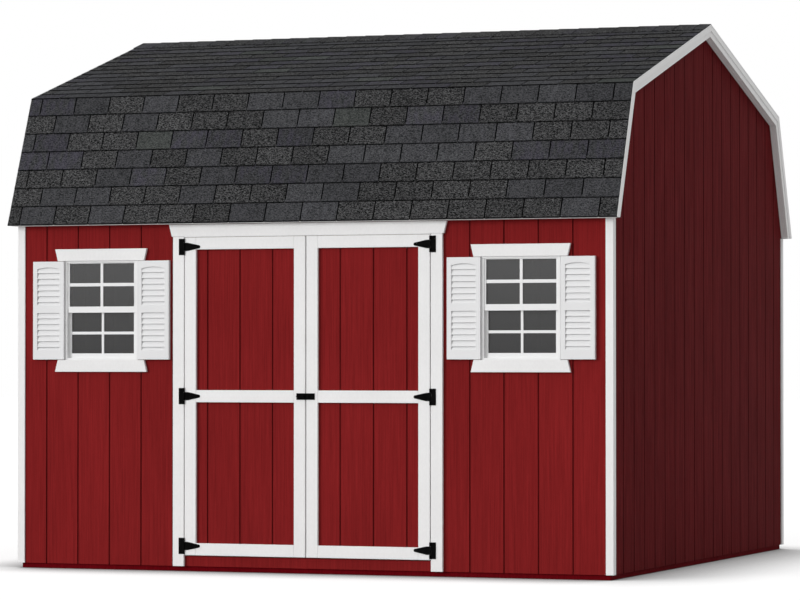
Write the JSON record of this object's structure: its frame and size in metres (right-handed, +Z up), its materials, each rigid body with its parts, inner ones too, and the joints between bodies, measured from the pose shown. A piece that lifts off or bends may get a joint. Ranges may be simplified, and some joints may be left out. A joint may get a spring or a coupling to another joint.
{
  "type": "gambrel barn shed",
  "caption": "Garden shed with a gambrel shingled roof, red grooved siding, white trim, hinged double doors and shuttered windows on its long front; hollow, with a floor.",
  "frame": {"origin": "ground level below the middle of the building", "axes": "+Z up, -Y out of the front with the double doors, +X to the right as seen from the front"},
  "size_m": [3.7586, 3.7976, 3.246],
  "materials": {
    "siding": "satin painted grooved panel siding, barn red",
    "white_trim": "satin white painted boards",
    "shingles": "charcoal asphalt shingles with mineral granules",
    "roof_deck": "bare sheathing inside, white painted where it shows under the overhang",
    "floor_wood": "bare sheet flooring",
    "frame_wood": "barn red painted rim over treated joists",
    "window_white": "white window frame and sashes",
    "window_glass": "dark tinted glass",
    "shutter_white": "white moulded louvred shutters",
    "hinge_black": "black powder-coated steel"
  },
  "bodies": {
    "shed": {"floor_frame": "frame_wood", "floor_deck": "floor_wood", "front_wall_left": "siding", "front_wall_right": "siding", "front_wall_header": "siding", "front_sill_strip": "siding", "back_wall": "siding", "left_gable_wall": "siding", "right_gable_wall": "siding", "front_lower_roof_deck": "roof_deck", "front_upper_roof_deck": "roof_deck", "back_upper_roof_deck": "roof_deck", "back_lower_roof_deck": "roof_deck", "front_lower_shingles": "shingles", "front_upper_shingles": "shingles", "back_upper_shingles": "shingles", "back_lower_shingles": "shingles", "ridge_cap": "shingles", "left_rake_trim": "white_trim", "right_rake_trim": "white_trim", "front_eave_trim": "white_trim", "back_eave_trim": "white_trim", "front_corner_trim": "white_trim", "back_corner_trim": "white_trim", "door_casing": "white_trim", "left_window_frame": "window_white", "right_window_frame": "window_white", "left_window_glass": "window_glass", "right_window_glass": "window_glass", "left_window_trim": "white_trim", "right_window_trim": "white_trim", "left_window_shutters": "shutter_white", "right_window_shutters": "shutter_white", "left_hinge_plates": "hinge_black", "right_hinge_plates": "hinge_black"},
    "left_door": {"left_door_panel": "siding", "left_door_frame": "siding", "left_door_trim": "white_trim", "left_door_straps": "hinge_black", "left_latch_plate": "hinge_black"},
    "right_door": {"right_door_panel": "siding", "right_door_frame": "siding", "right_door_trim": "white_trim", "right_door_straps": "hinge_black", "right_latch_plate": "hinge_black"}
  },
  "joints": [
    {"name": "left_door_hinge", "type": "hinge", "parent": "shed", "child": "left_door", "pos_m": [-0.75925, -1.8528, 1.013], "axis": [0, 0, -1], "range_deg": [0, 170]},
    {"name": "right_door_hinge", "type": "hinge", "parent": "shed", "child": "right_door", "pos_m": [0.75925, -1.8528, 1.013], "axis": [0, 0, 1], "range_deg": [0, 170]}
  ]
}
